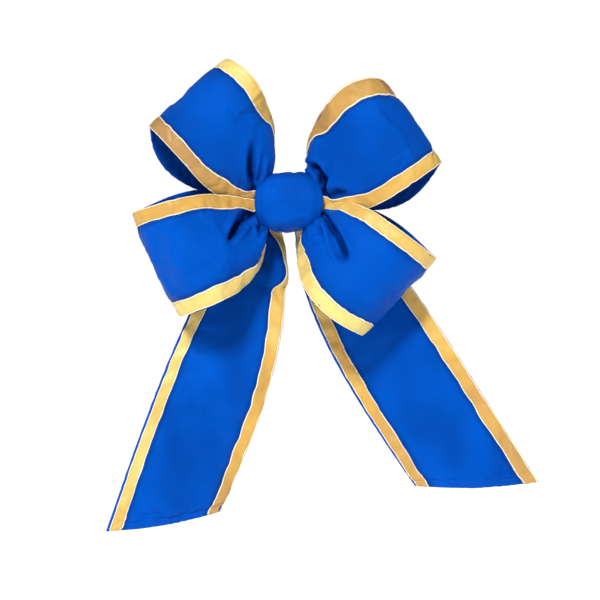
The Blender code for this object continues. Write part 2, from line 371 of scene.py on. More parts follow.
def tail_points(shape, v, across):
    inner, outer = bezier(shape["inner"], v), bezier(shape["outer"], v)
    width = np.linalg.norm(outer - inner, axis=1)[:, None]
    middle, half, degrees = shape["roll"]
    roll = math.radians(degrees) * smoothstep(1, 0.15, np.abs(v - middle) / half)
    sideways, deep = rolled(1 - across, roll, 0.72)
    plane = inner[:, None] + (1 - sideways)[:, :, None] * (outer - inner)[:, None]
    end = (outer - inner) / width
    below = np.stack([end[:, 1], -end[:, 0]], axis=1) * np.sign(end[:, :1])
    sag = 5 * smoothstep(0.9, 1, v)[:, None] * np.sin(math.pi * across)
    plane = plane + sag[:, :, None] * below[:, None]
    twist = shape["twist"] * (v * v)[:, None] * across
    y = TAIL_Y - TAIL_BOW * (np.sin(math.pi * v) ** 3)[:, None] - twist + deep * width * 0.6
    return np.stack([plane[:, :, 0], y, plane[:, :, 1]], axis=2)


def fullness(across, ends):
    """Half thickness of the pad at each point. It closes at both edges, and at rings where ends is 0."""
    edge = np.clip(1 - np.abs(2 * across - 1) ** 9, 0, 1) ** 0.5
    low, high = across[:, TRIM_STEPS, None], across[:, -1 - TRIM_STEPS, None]
    seam = smoothstep(low * 0.8, low * 1.7, across)
    seam = seam * smoothstep(1 - (1 - high) * 0.8, 1 - (1 - high) * 1.7, across)
    return FULLEST * edge * (0.42 + 0.58 * seam) * ends[:, None]


def sleeve_of(middle, thickness, sign):
    """Ring of columns round a ribbon: the outer face from 0 to 1, then the inner face back."""
    normal = normals_of(middle) * sign
    outer = middle + normal * thickness[:, :, None]
    inner = middle - normal * thickness[:, :, None]
    return np.concatenate([outer, inner[:, -2:0:-1]], axis=1)


# ---------------------------------------------------------------- meshes


def grid_faces(rings, ring_columns, closed):
    """Quads between neighbouring rings and columns, by index."""
    faces = []
    for i in range(rings - 1):
        for j in range(ring_columns if closed else ring_columns - 1):
            k = (j + 1) % ring_columns
            a, b = i * ring_columns, (i + 1) * ring_columns
            faces.append((a + j, a + k, b + k, b + j))
    return faces


def mesh_object(name, grid, closed=True, capped=True, uv=None, flip=False):
    """Object of a grid in millimetres, its rings joined in turn and its ends capped."""
    rings, ring_columns = grid.shape[:2]
    faces = grid_faces(rings, ring_columns, closed)
    if capped:
        faces.append(tuple(range(ring_columns))[::-1])
        faces.append(tuple((rings - 1) * ring_columns + j for j in range(ring_columns)))
    if flip:
        faces = [f[::-1] for f in faces]
    data = bpy.data.meshes.new(name)
    data.from_pydata((grid.reshape(-1, 3) * MM).tolist(), [], faces)
    data.polygons.foreach_set("use_smooth", [True] * len(faces))
    if uv is not None:
        layer = data.uv_layers.new(name="UVMap")
        flat = uv.reshape(-1, 2)
        index = np.empty(len(data.loops), int)
        data.loops.foreach_get("vertex_index", index)
        layer.data.foreach_set("uv", flat[index].ravel())
    data.update()
    obj = bpy.data.objects.new(name, data)
    bpy.context.scene.collection.objects.link(obj)
    return obj


def ribbon_uv(grid, across_count):
    """Cloth coordinates in millimetres of a sleeve's grid: round it, then along it."""
    rings, ring_columns = grid.shape[:2]
    steps = np.linalg.norm(np.diff(grid, axis=1), axis=2)
    around = np.concatenate([np.zeros((rings, 1)), np.cumsum(steps, axis=1)], axis=1)
    centre = grid[:, across_count // 2]
    along = np.concatenate([[0], np.cumsum(np.linalg.norm(np.diff(centre, axis=0), axis=1))])
    return np.stack([around, np.repeat(along[:, None], ring_columns, axis=1)], axis=2)


def swollen(name, grid, pins, pressure, growth, cap, frames=18):
    """Grid of a sleeve after cloth simulation.

    Pins say how firmly each point is held, and cap limits how far it moves.
    """
    if not SIMULATE:
        return grid
    obj = mesh_object(f"{name}_cloth", grid)
    group = obj.vertex_groups.new(name="pins")
    for index, weight in enumerate(pins.ravel()):
        group.add([index], float(weight), "REPLACE")
    cloth = obj.modifiers.new("Cloth", "CLOTH")
    settings = cloth.settings
    settings.quality = 6
    settings.mass = 0.15
    settings.tension_stiffness = 12
    settings.compression_stiffness = 12
    settings.shear_stiffness = 4
    settings.bending_stiffness = 0.35
    settings.vertex_group_mass = "pins"
    settings.pin_stiffness = 1
    settings.shrink_min = -growth
    settings.use_pressure = True
    settings.uniform_pressure_force = pressure
    settings.effector_weights.gravity = 0
    cloth.collision_settings.use_collision = False
    cloth.collision_settings.use_self_collision = False
    cloth.point_cache.frame_start = 1
    cloth.point_cache.frame_end = frames
    scene = bpy.context.scene
    for number in range(1, frames + 1):
        scene.frame_set(number)
    graph = bpy.context.evaluated_depsgraph_get()
    result = obj.evaluated_get(graph).to_mesh()
    points = np.empty(len(result.vertices) * 3)
    result.vertices.foreach_get("co", points)
    after = points.reshape(grid.shape) / MM
    obj.evaluated_get(graph).to_mesh_clear()
    bpy.data.objects.remove(obj)
    scene.frame_set(1)
    shift = after - grid
    far = np.linalg.norm(shift, axis=2, keepdims=True)
    print(f"{name}: cloth moved {far.mean():.2f} mm on average and {far.max():.2f} mm at most")
    moved = grid + shift * np.minimum(1, cap * np.tanh(far / cap) / np.maximum(far, 1e-6))
    return kept_apart(moved, grid, grid.shape[1] // 2 + 1)


def inner_face(sleeve, count):
    """Inner face of a sleeve's grid, column for column with its outer face of count columns."""
    edge = sleeve[:, :1]
    other_edge = sleeve[:, count - 1 : count]
    return np.concatenate([edge, sleeve[:, : count - 1 : -1], other_edge], axis=1)


def kept_apart(sleeve, before, count):
    """Sleeve whose outer face stays over its inner face by most of the thickness that it had before."""
    outer, inner = sleeve[:, :count], inner_face(sleeve, count)
    across = before[:, :count] - inner_face(before, count)
    thick = np.linalg.norm(across, axis=2, keepdims=True)
    direction = across / np.maximum(thick, 1e-6)
    gap = ((outer - inner) * direction).sum(axis=2, keepdims=True)
    push = direction * np.clip(0.85 * thick - gap, 0, None) / 2
    outer, inner = outer + push, inner - push
    return np.concatenate([outer, inner[:, -2:0:-1]], axis=1)


# ---------------------------------------------------------------- materials


class Shader:
    """A node material with short calls for its nodes."""

    def __init__(self, name, **values):
        self.material = bpy.data.materials.new(name)
        self.material.use_nodes = True
        self.tree = self.material.node_tree
        self.main = self.tree.nodes["Principled BSDF"]
        for socket, value in values.items():
            self.main.inputs[socket.replace("_", " ")].default_value = value

    def node(self, kind, inputs=None, **settings):
        made = self.tree.nodes.new(f"ShaderNode{kind}")
        for key, value in settings.items():
            setattr(made, key, value)
        for key, value in (inputs or {}).items():
            self.put(value, made.inputs[key])
        return made

    def put(self, value, socket):
        """Link an output to a socket, or set the socket's value."""
        if isinstance(value, bpy.types.NodeSocket):
            self.tree.links.new(value, socket)
        else:
            socket.default_value = value

    def maths(self, operation, a, b=0.0, c=0.0):
        made = self.node("Math", operation=operation)
        for socket, value in zip(made.inputs, (a, b, c)):
            self.put(value, socket)
        return made.outputs[0]

    def mix(self, factor, a, b):
        made = self.node("Mix", data_type="RGBA")
        for index, value in ((0, factor), (6, a), (7, b)):
            self.put(value, made.inputs[index])
        return made.outputs[2]

    def ramp(self, value, low, high, start=0.0, end=1.0):
        inputs = {"Value": value, "From Min": low, "From Max": high, "To Min": start, "To Max": end}
        return self.node("MapRange", inputs).outputs[0]

    def noise(self, vector, scale, detail=3.0, roughness=0.5):
        inputs = {"Vector": vector, "Scale": scale, "Detail": detail, "Roughness": roughness}
        return self.node("TexNoise", inputs).outputs["Fac"]

    def bump(self, height, distance, strength, normal=None):
        inputs = {"Height": height, "Distance": distance, "Strength": strength}
        if normal is not None:
            inputs["Normal"] = normal
        return self.node("Bump", inputs).outputs[0]

    def weave(self, uv, pitch):
        """Height of a plain weave of that pitch, over cloth coordinates in millimetres."""
        parts = self.node("SeparateXYZ", {0: uv})
        waves = [
            self.maths("SINE", self.maths("MULTIPLY", parts.outputs[axis], 2 * math.pi / pitch))
            for axis in (0, 1)
        ]
        return self.maths("MULTIPLY", *waves)


def colour(red, green, blue):
    """Linear colour from screen values of 0 to 255."""

    def linear(value):
        c = value / 255
        return c / 12.92 if c <= 0.04045 else ((c + 0.055) / 1.055) ** 2.4

    return (linear(red), linear(green), linear(blue), 1.0)


def blue_cloth(name, light, deep):
    """Fine satin-faced polyester, a little deeper in patches, with soft handling wrinkles, and painted
    shade that darkens it towards navy.
    """
    shader = Shader(name, Sheen_Weight=0.05, Sheen_Roughness=0.5)
    shader.main.inputs["Specular IOR Level"].default_value = 0.16
    shader.main.inputs["Specular Tint"].default_value = colour(90, 160, 255)
    shader.main.inputs["Sheen Tint"].default_value = colour(60, 140, 255)
    uv = shader.node("UVMap").outputs[0]
    place = shader.node("TexCoord").outputs["Object"]
    patches = shader.noise(place, 11.0, 2.0)
    fibres = shader.noise(place, 900.0, 2.0)
    base = shader.mix(shader.ramp(patches, 0.35, 0.65), light, deep)
    speckle = shader.ramp(fibres, 0.3, 0.7, 0.0, 0.12)
    base = shader.mix(speckle, base, colour(2, 92, 200))
    # Painted shade: the attribute darkens the blue towards navy in creases, beside the trims, inside the
    # loops, near the necks, on the knot's rims and over the tails.
    painted_shade = shader.node("Attribute", attribute_name="painted_shade").outputs["Fac"]
    base = shader.mix(shader.maths("MULTIPLY", painted_shade, 0.75), base, colour(0, 28, 96))
    shader.put(base, shader.main.inputs["Base Color"])
    shader.put(shader.ramp(fibres, 0.3, 0.7, 0.42, 0.58), shader.main.inputs["Roughness"])
    creases = shader.noise(place, 62.0, 4.0, 0.55)
    wrinkled = shader.bump(creases, 0.0012, 0.3)
    woven = shader.bump(shader.weave(uv, 0.55), 0.00006, 0.5, wrinkled)
    shader.put(woven, shader.main.inputs["Normal"])
    return shader.material


def gold_trim(name):
    """Gold satin painted from pale yellow, as if lit, to tan, as if shaded, by its tone, varied a little
    at random, with pale woven edges and stitches by each.
    """
    shader = Shader(name)
    shader.main.inputs["Specular IOR Level"].default_value = 0.35
    parts = shader.node("SeparateXYZ", {0: shader.node("UVMap").outputs[0]})
    across, along = parts.outputs[0], parts.outputs[1]
    place = shader.node("TexCoord").outputs["Object"]
    patches = shader.ramp(shader.noise(place, 14.0, 2.0), 0.3, 0.7, -0.22, 0.22)
    # Painted light: the attribute turns the gold from pale, as if lit, to tan, as if shaded; the patches
    # add a little random variation.
    painted_light_tone = shader.maths("ADD", shader.node("Attribute", attribute_name="painted_light_tone").outputs["Fac"], patches)
    satin = shader.mix(shader.ramp(painted_light_tone, 0.0, 0.5), colour(244, 220, 132), colour(220, 172, 80))
    satin = shader.mix(shader.ramp(painted_light_tone, 0.5, 1.0), satin, colour(176, 134, 84))
    lengthwise = shader.node("CombineXYZ", {0: shader.maths("MULTIPLY", across, 60.0), 1: along})
    grain = shader.noise(lengthwise.outputs[0], 1.4, 3.0)
    satin = shader.mix(shader.ramp(grain, 0.3, 0.7, 0.0, 0.16), satin, colour(176, 126, 58))
    from_edge = shader.maths("MINIMUM", across, shader.maths("SUBTRACT", 1.0, across))
    pale = shader.ramp(from_edge, 0.085, 0.06)
    base = shader.mix(pale, satin, colour(252, 238, 200))
    beat = shader.maths("FRACT", shader.maths("DIVIDE", along, 3.2))
    dash = shader.maths("LESS_THAN", beat, 0.68)
    near_seam = shader.maths("COMPARE", from_edge, 0.125, 0.018)
    thread = shader.maths("MULTIPLY", dash, near_seam)
    base = shader.mix(shader.maths("MULTIPLY", thread, 0.45), base, colour(186, 132, 56))
    shader.put(base, shader.main.inputs["Base Color"])
    shader.put(shader.ramp(grain, 0.3, 0.7, 0.36, 0.5), shader.main.inputs["Roughness"])
    ribs = shader.maths("SINE", shader.maths("MULTIPLY", along, 2 * math.pi / 0.9))
    sunk = shader.maths("SUBTRACT", shader.maths("MULTIPLY", ribs, 0.10), thread)
    shader.put(shader.bump(sunk, 0.00022, 0.6), shader.main.inputs["Normal"])
    return shader.material


def thread_material(name, dark, light):
    shader = Shader(name, Roughness=0.55)
    place = shader.node("TexCoord").outputs["Object"]
    strands = shader.noise(place, 2600.0, 2.0)
    shader.put(shader.mix(strands, dark, light), shader.main.inputs["Base Color"])
    shader.put(shader.bump(strands, 0.00008, 0.7), shader.main.inputs["Normal"])
    return shader.material


def felt(name, tint):
    shader = Shader(name, Roughness=0.95, Sheen_Weight=0.35)
    place = shader.node("TexCoord").outputs["Object"]
    fuzz = shader.noise(place, 1300.0, 5.0, 0.7)
    lumps = shader.noise(place, 160.0, 3.0)
    both = shader.maths("ADD", fuzz, lumps)
    deep = tuple(0.55 * c for c in tint[:3]) + (1.0,)
    shader.put(shader.mix(shader.ramp(both, 0.7, 1.3), deep, tint), shader.main.inputs["Base Color"])
    shader.put(shader.bump(both, 0.0005, 0.6), shader.main.inputs["Normal"])
    return shader.material


def tie_plastic(name):
    shader = Shader(name, Roughness=0.42)
    place = shader.node("TexCoord").outputs["Object"]
    mottled = shader.noise(place, 240.0, 2.0)
    base = shader.mix(mottled, colour(232, 232, 226), colour(214, 214, 206))
    shader.put(base, shader.main.inputs["Base Color"])
    shader.put(shader.ramp(mottled, 0.3, 0.7, 0.36, 0.5), shader.main.inputs["Roughness"])
    shader.put(shader.bump(mottled, 0.0002, 0.3), shader.main.inputs["Normal"])
    return shader.material


BLUE = blue_cloth("royal_blue_satin", colour(0, 82, 190), colour(0, 70, 168))
GOLD = gold_trim("gold_satin_trim")
BLUE_THREAD = thread_material("blue_thread", colour(0, 52, 140), colour(10, 84, 190))
NAVY_FELT = felt("navy_felt", colour(14, 52, 128))


def dress(obj, body, material, nodes=()):
    """Give a piece its material and body, and hide the CAD nodes that it stands for."""
    obj.data.materials.clear()
    obj.data.materials.append(material)
    if body:
        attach(obj, body)
    if nodes:
        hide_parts(*nodes)
    return obj


# ---------------------------------------------------------------- ribbons

# Columns of the cover's grid that a trim spans, and the heights over the cloth of
# its woven edge at each distance in columns from the trim's own edge, where it dips.
TRIM_SPAN = 2 * TRIM_STEPS
TRIM_EDGE = ((0.0, 0.0), (0.04, 0.6), (0.2, 1.3), (0.45, 1.45), (0.75, 1.2), (1.0, 1.0))
TRIM_FACE = 1.1
# How far its underside sinks into the cloth, here and over the last rings of the thin
# hem, and the share of that by which its edges dip.
TRIM_SUNK, TRIM_SUNK_AT_HEM = 0.6, 0.15
HEM_RINGS = 15
TRIM_EDGE_DIP = 0.8


def make_trim(name, face, rings, edge, inset, body, node, seed, painted_light_tones, rounded=False):
    """Gold trim on a face's grid, over the given rings and its columns from one edge inwards."""
    normal = normals_of(face)[rings]
    strip = face[rings]
    if edge == "high":
        strip, normal = strip[:, ::-1], normal[:, ::-1]
    count = len(strip)
    walked = np.linalg.norm(np.diff(strip[:, : TRIM_SPAN + 1], axis=1), axis=2).sum(axis=1)
    column = walked / TRIM_SPAN
    row = np.arange(count)
    start = np.minimum(np.broadcast_to(inset, count) / np.maximum(column, 0.2), 2.1)
    wave = 0.22 * np.sin(row * 0.21 + seed) + 0.16 * np.sin(row * 0.53 + 2 * seed)
    end = TRIM_SPAN + wave
    if rounded:
        corner = np.array([0.0] * (count - 4) + [0.06, 0.2, 0.42, 0.8])
        start, end = start + corner, end - corner
    whole = np.arange(4, TRIM_SPAN - 2)
    inner = np.concatenate([np.tile(whole, (count, 1)), (whole[-1] + end[:, None] - 1) / 2], axis=1)
    edge_at = np.array([p[0] for p in TRIM_EDGE])
    at = np.concatenate([start[:, None] + edge_at, inner, (end[:, None] - edge_at)[:, ::-1]], axis=1)
    rise = [p[1] for p in TRIM_EDGE]
    height = np.tile(rise + [TRIM_FACE] * inner.shape[1] + rise[::-1], (count, 1))
    sunk = np.full((count, 1), TRIM_SUNK)
    if rounded:
        sunk[-HEM_RINGS:] = TRIM_SUNK_AT_HEM
    height[:, [0, -1]] = -TRIM_EDGE_DIP * sunk
    below = np.floor(at).astype(int)
    part = (at - below)[:, :, None]
    place = strip[row[:, None], below] * (1 - part) + strip[row[:, None], below + 1] * part
    lift = normal[row[:, None], below] * (1 - part) + normal[row[:, None], below + 1] * part
    top = place + lift * height[:, :, None]
    under = (place - lift * sunk[:, :, None])[:, -2:0:-1]
    grid = np.concatenate([top, under], axis=1)
    share = (at - start[:, None]) / (end - start)[:, None]
    share = np.concatenate([share, share[:, -2:0:-1]], axis=1)
    along = np.concatenate([[0], np.cumsum(np.linalg.norm(np.diff(strip[:, 6], axis=0), axis=1))])
    uv = np.stack([share, np.repeat(along[:, None], grid.shape[1], axis=1)], axis=2)
    obj = mesh_object(name, grid, uv=uv)
    # Painted light: each ring's value makes the gold pale where it should look lit and tan where it
    # should look shaded.
    painted_light_tone = np.repeat(np.interp(painted_light_tones[0], (0, 1), painted_light_tones[1]), grid.shape[1])
    obj.data.attributes.new("painted_light_tone", "FLOAT", "POINT").data.foreach_set("value", painted_light_tone)
    fix_normals(obj)
    return dress(obj, body, GOLD, (node,))


def fix_normals(obj):
    mesh = bmesh.new()
    mesh.from_mesh(obj.data)
    bmesh.ops.recalc_face_normals(mesh, faces=mesh.faces)
    mesh.to_mesh(obj.data)
    mesh.free()


def make_ribbon(name, sleeve, shade, body, nodes, inner_shade, seam_shade=0.55, creases=(), front=None):
    """Cover of a padded ribbon from its simulated grid, and the fine grid of its outer face.

    Shade is painted shade: how far the blue is darkened towards navy at each point of the
    outer face, none at 0 or below, most at 1. Inner_shade is painted all over the inner
    face, seam_shade along the cloth beside the trims, and the crease valleys get more.
    """
    count = shade.shape[1]
    fine = refine(refine(sleeve, 0), 1, closed=True)
    fine_count = 2 * count - 1
    face = fine[:, :fine_count]
    # Painted shade: one value all over the inner face, then the outer face's own.
    painted_shade = np.full(fine.shape[:2], inner_shade)
    painted_shade[:, :fine_count] = refine(refine(shade, 0), 1)
    if creases:
        outwards = face - inner_face(fine, fine_count)
        normal = normals_of(face)
        normal = normal * np.sign((normal * outwards).sum(axis=(1, 2)).mean())
        middle = np.linspace(0, 1, fine_count)
        inside = smoothstep(0.13, 0.22, middle) * smoothstep(1.0, 0.84, middle)
        lift = creased(face, creases) * front[:, None] * inside
        push = normal * lift[:, :, None]
        fine = fine + np.concatenate([push, push[:, -2:0:-1]], axis=1)
        face = fine[:, :fine_count]
        # Painted shade in the crease valleys, deeper where they sink further.
        painted_shade[:, :fine_count] += smoothstep(-0.5, -9, lift)
    # Painted shade along the blue beside both trims' inner lines, as a shadow of the trims.
    seam = np.exp(-(((np.arange(fine_count) - 2 * TRIM_STEPS - 0.9) / 1.3) ** 2))
    painted_shade[:, :fine_count] += seam_shade * (seam + seam[::-1])
    obj = mesh_object(name, fine, uv=ribbon_uv(fine, fine_count))
    obj.data.attributes.new("painted_shade", "FLOAT", "POINT").data.foreach_set("value", painted_shade.ravel())
    fix_normals(obj)
    dress(obj, body, BLUE, nodes)
    return obj, face


def pin_weights(across, held_rings, ends, soft=0.02):
    """How firmly each point of a sleeve is held: its edges, trim lines and the given end rings."""
    rings, count = across.shape
    face = np.full((rings, count), soft)
    face[:, [0, -1]] = 0.9
    face[:, [TRIM_STEPS, -1 - TRIM_STEPS]] = 0.25
    face[:, [TRIM_STEPS // 2, -1 - TRIM_STEPS // 2]] = 0.12
    for end in ends:
        rows = slice(0, held_rings) if end == 0 else slice(rings - held_rings, rings)
        face[rows] = 1.0
    return np.concatenate([face, face[:, -2:0:-1]], axis=1)


def make_loop(side, shape, seed):
    middle, across, reach, v = loop_middle(shape)
    sign = outer_sign(middle, np.argmin(np.abs(v + 0.5)), -1)
    lift = gathers(across, reach, seed)
    lift += 0.9 * soft_noise(middle, 34, seed) * smoothstep(0.0, 0.3, reach)[:, None]
    middle = middle + normals_of(middle) * sign * lift[:, :, None]
    thin = 0.55 + 0.45 * smoothstep(0.0, 0.25, reach)
    sleeve = sleeve_of(middle, fullness(across, thin), sign)
    sleeve = swollen(side, sleeve, pin_weights(across, 3, (0, 1)), pressure=5, growth=0.03, cap=5)
    nodes = (f"{side}_loop_cover", f"{side}_loop_batting")
    front = smoothstep(0.05, -0.1, refine(v, 0))
    # Painted shade on the outer face: darker near the neck and towards the crown edge, and in soft
    # patches standing for the shade of wrinkles. The inner face, inside the loop, gets deep painted
    # shade.
    shade = 0.3 * smoothstep(0.2, 0.02, reach)[:, None] + 0.16 * smoothstep(0.5, 1.0, across)
    shade = shade + 0.2 * soft_noise(middle, 36, seed + 5)
    cover, face = make_ribbon(
        f"{side}_loop_fabric", sleeve, shade, None, nodes, 0.6, creases=shape["creases"], front=front
    )
    pieces = [cover]
    rings = slice(2, len(face) - 2)
    fine_reach = refine(reach, 0)[rings]
    for edge, label in (("low", "mouth"), ("high", "crown")):
        name, node = f"{side}_loop_{label}_gold", f"{side}_loop_{label}_trim"
        painted_light_tones = (fine_reach, shape["painted_light_tones"][label])
        inset = np.where(refine(v, 0)[rings] < 0.05, 0.8, 2.4)
        pieces.append(make_trim(name, face, rings, edge, inset, None, node, seed, painted_light_tones))
    for piece in pieces:
        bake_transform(piece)


def outer_sign(middle, ring, towards):
    """Sign that makes normals_of point towards -Y or +Y at the middle of a ring."""
    normal = normals_of(middle)[ring, middle.shape[1] // 2]
    return 1 if normal[1] * towards > 0 else -1


# Fullness of a tail's pad at each distance in millimetres from its end: a soft roll,
# then the groove of the hem stitches.
HEM_FULLNESS = (
    (0, 0.2),
    (1, 0.5),
    (3, 0.72),
    (5.5, 0.75),
    (8, 0.55),
    (HEM, 0.42),
    (12, 0.55),
    (16, 0.85),
    (22, 1),
)


def make_tail(side, shape, seed):
    middle, across, v, left = tail_middle(shape)
    sign = outer_sign(middle, TAIL_RINGS // 2, -1)
    near_top = smoothstep(0.35, 0.02, v)[:, None]
    lift = 2.2 * near_top * np.cos(2 * math.pi * (3 * across + 0.2 * seed))
    slant = middle.copy()
    slant[:, :, 2] = slant[:, :, 2] * 0.45 + slant[:, :, 0] * 0.5
    lift += 3.6 * soft_noise(slant, 40, seed) * smoothstep(0.05, 0.3, v)[:, None]
    lift += 1.3 * soft_noise(middle, 21, seed + 3)
    middle = middle + normals_of(middle) * sign * lift[:, :, None]
    ends = np.interp(left, *zip(*HEM_FULLNESS))
    sleeve = sleeve_of(middle, fullness(across, ends), sign)
    pins = pin_weights(across, 3, (0,))
    pins[left < 1] = 0.95
    pins[np.abs(left - HEM) < 1.5] = 0.95
    sleeve = swollen(f"{side}_tail", sleeve, pins, pressure=5, growth=0.03, cap=4)
    body = f"{side}_tail"
    nodes = (f"{side}_tail_cover", f"{side}_tail_batting")
    # Painted shade on the outer face: a little all over, more towards the top where the loops shade the
    # tail, and in slanting patches standing for the shade of wrinkles. The inner face gets a little too.
    shade = 0.12 + 0.3 * smoothstep(0.42, 0.08, v)[:, None] + 0.3 * soft_noise(slant, 38, seed + 5)
    face = make_ribbon(f"{side}_tail_fabric", sleeve, shade, body, nodes, 0.15)[1]
    rings = slice(4, len(face))
    for edge, label in (("low", "inner"), ("high", "outer")):
        name, node = f"{side}_tail_{label}_gold", f"{side}_tail_{label}_trim"
        painted_light_tones = (refine(v, 0)[rings], shape["painted_light_tones"][label])
        inset = shape["insets"][label]
        make_trim(name, face, rings, edge, inset, body, node, seed, painted_light_tones, rounded=True)
    make_hem(side, face, body)


def make_hem(side, face, body):
    """Row of thread stitches above the slanted end of a tail."""
    line = []
    normal = normals_of(face)
    for j in range(2 * TRIM_STEPS, face.shape[1] - 2 * TRIM_STEPS):
        column = face[:, j]
        left = np.cumsum(np.linalg.norm(np.diff(column[::-1], axis=0), axis=1))
        ring = len(column) - 1 - int(np.searchsorted(left, HEM))
        line.append(column[ring] + normal[ring, j] * 0.12)
    stitches(f"{side}_tail_hem_stitches", np.array(line), 3.0, 2.2, 0.24, body)


def stitches(name, line, pitch, length, radius, body):
    """Short thread stitches, each a tapered bead, along a line of points in millimetres."""
    steps = np.linalg.norm(np.diff(line, axis=0), axis=1)
    walked = np.concatenate([[0], np.cumsum(steps)])
    mesh = bmesh.new()
    for start in np.arange(pitch / 2, walked[-1] - pitch, pitch):
        ends = [
            Vector([float(np.interp(s, walked, line[:, axis])) for axis in range(3)])
            for s in (start, start + length)
        ]
        along = (ends[1] - ends[0]).normalized()
        side = along.orthogonal().normalized()
        up = along.cross(side)
        rings = []
        for f in (0.0, 0.15, 0.5, 0.85, 1.0):
            size = radius * (0.35 + 0.65 * math.sin(math.pi * min(max(f, 0.06), 0.94)) ** 0.5)
            centre = ends[0].lerp(ends[1], f)
            rings.append(
                [
                    mesh.verts.new((centre + size * (side * math.cos(a) + up * math.sin(a))) * MM)
                    for a in [k * math.pi / 3 for k in range(6)]
                ]
            )
        for a, b in zip(rings, rings[1:]):
            for k in range(6):
                mesh.faces.new((a[k], a[(k + 1) % 6], b[(k + 1) % 6], b[k]))
        mesh.faces.new(rings[0][::-1])
        mesh.faces.new(rings[-1])
    bmesh.ops.recalc_face_normals(mesh, faces=mesh.faces)
    data = bpy.data.meshes.new(name)
    mesh.to_mesh(data)
    mesh.free()
    data.polygons.foreach_set("use_smooth", [True] * len(data.polygons))
    obj = bpy.data.objects.new(name, data)
    bpy.context.scene.collection.objects.link(obj)
    return dress(obj, body, BLUE_THREAD)


# ---------------------------------------------------------------- knot and back


# The knot's half width at the top, the bottom and the back, and the depth of its back
# half as a share of its front half's.
KNOT_NARROW_HALF_WIDTH = 22
KNOT_BACK_SHARE = 0.93


def make_knot():
    """Puffy wrap round the gathered middle, pleated where it turns over the top and bottom."""
    seam = 0.10
    angle = np.linspace(seam, 2 * math.pi - seam, KNOT_RINGS)
    count = 2 * TRIM_STEPS + MIDDLE_STEPS + 1
    t = np.linspace(-1, 1, count)[None, :]
    power = 2 / 2.4
    cos_a, sin_a = np.cos(angle)[:, None], np.sin(angle)[:, None]
    half = 4.5
    y = np.copysign(np.abs(cos_a) ** power, cos_a) * (KNOT_HALF_DEPTH - half)
    y = np.where(y > 0, y * KNOT_BACK_SHARE, y)
    z = np.copysign(np.abs(sin_a) ** power, sin_a) * (KNOT_HALF_HEIGHT - half - 1)
    frontness = np.clip(-cos_a, 0, 1)
    wider = KNOT_HALF_WIDTH - KNOT_NARROW_HALF_WIDTH
    width = KNOT_NARROW_HALF_WIDTH + wider * frontness**0.9
    tuck = 1 - 0.24 * frontness * np.abs(t) ** 3.2
    x = width * np.sin(t * math.pi / 2 * 0.94) / math.sin(math.pi / 2 * 0.94)
    middle = np.stack([x * np.ones_like(y), KNOT_Y + y * tuck, z * tuck], axis=2)
    sign = outer_sign(middle, KNOT_RINGS // 2, -1)
    over = np.abs(sin_a) ** 5
    uneven = soft_noise(middle, 22, 8)
    pleats = np.cos(math.pi * (3.6 * t + 1.4 * uneven + 0.4 * np.sign(sin_a)))
    lift = (0.7 + 1.3 * uneven) * over * pleats
    lift = lift + 0.8 * soft_noise(middle, 26, 5)
    middle = middle + normals_of(middle) * sign * lift[:, :, None]
    across = np.repeat((t + 1) / 2, KNOT_RINGS, axis=0)
    thickness = fullness(across, np.ones(KNOT_RINGS)) * half / FULLEST
    sleeve = sleeve_of(middle, thickness, sign)
    pins = pin_weights(across, 2, (0, 1), soft=0.01)
    sleeve = swollen("knot", sleeve, pins, pressure=6, growth=0.03, cap=3)
    # Painted shade on the outer face: darker towards the top and bottom and towards both sides. The
    # inner face gets some too.
    shade = 0.34 * smoothstep(0.55, 0.97, np.abs(sin_a)) + 0.22 * smoothstep(0.55, 1.0, np.abs(t))
    nodes = ("knot_cover", "knot_batting")
    make_ribbon("knot_fabric", sleeve, shade, "knot", nodes, 0.35, seam_shade=0)


def make_core():
    """Ends of the ribbons, bunched into pleats and cinched at the waist by the tie."""
    low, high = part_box("gather_core")
    half = (high.x - low.x) / 2 / MM
    waist, end_radius, squeeze = 11.6, (high.z - low.z) / 2 / MM, 0.75
    x = np.linspace(-half, half, 33)[:, None]
    angle = np.linspace(0, 2 * math.pi, 120, endpoint=False)[None, :]
    radius = waist + (end_radius - waist) * (x / half) ** 2
    deep = 0.6 + 1.6 * np.abs(x / half)
    pleat = deep * (np.abs(np.sin(angle * 9 + 0.8 * np.sin(3 * angle))) - 0.9)
    radius = radius + pleat
    grid = np.stack(
        [x * np.ones_like(angle), KNOT_Y + radius * squeeze * np.sin(angle), radius * np.cos(angle)],
        axis=2,
    )
    obj = mesh_object("bunched_ribbon_ends", grid, uv=grid[:, :, [0, 2]])
    fix_normals(obj)
    dress(obj, "knot", BLUE, ("gather_core",))
    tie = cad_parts["gather_tie"]
    tie.data.materials.clear()
    tie.data.materials.append(tie_plastic("cable_tie"))


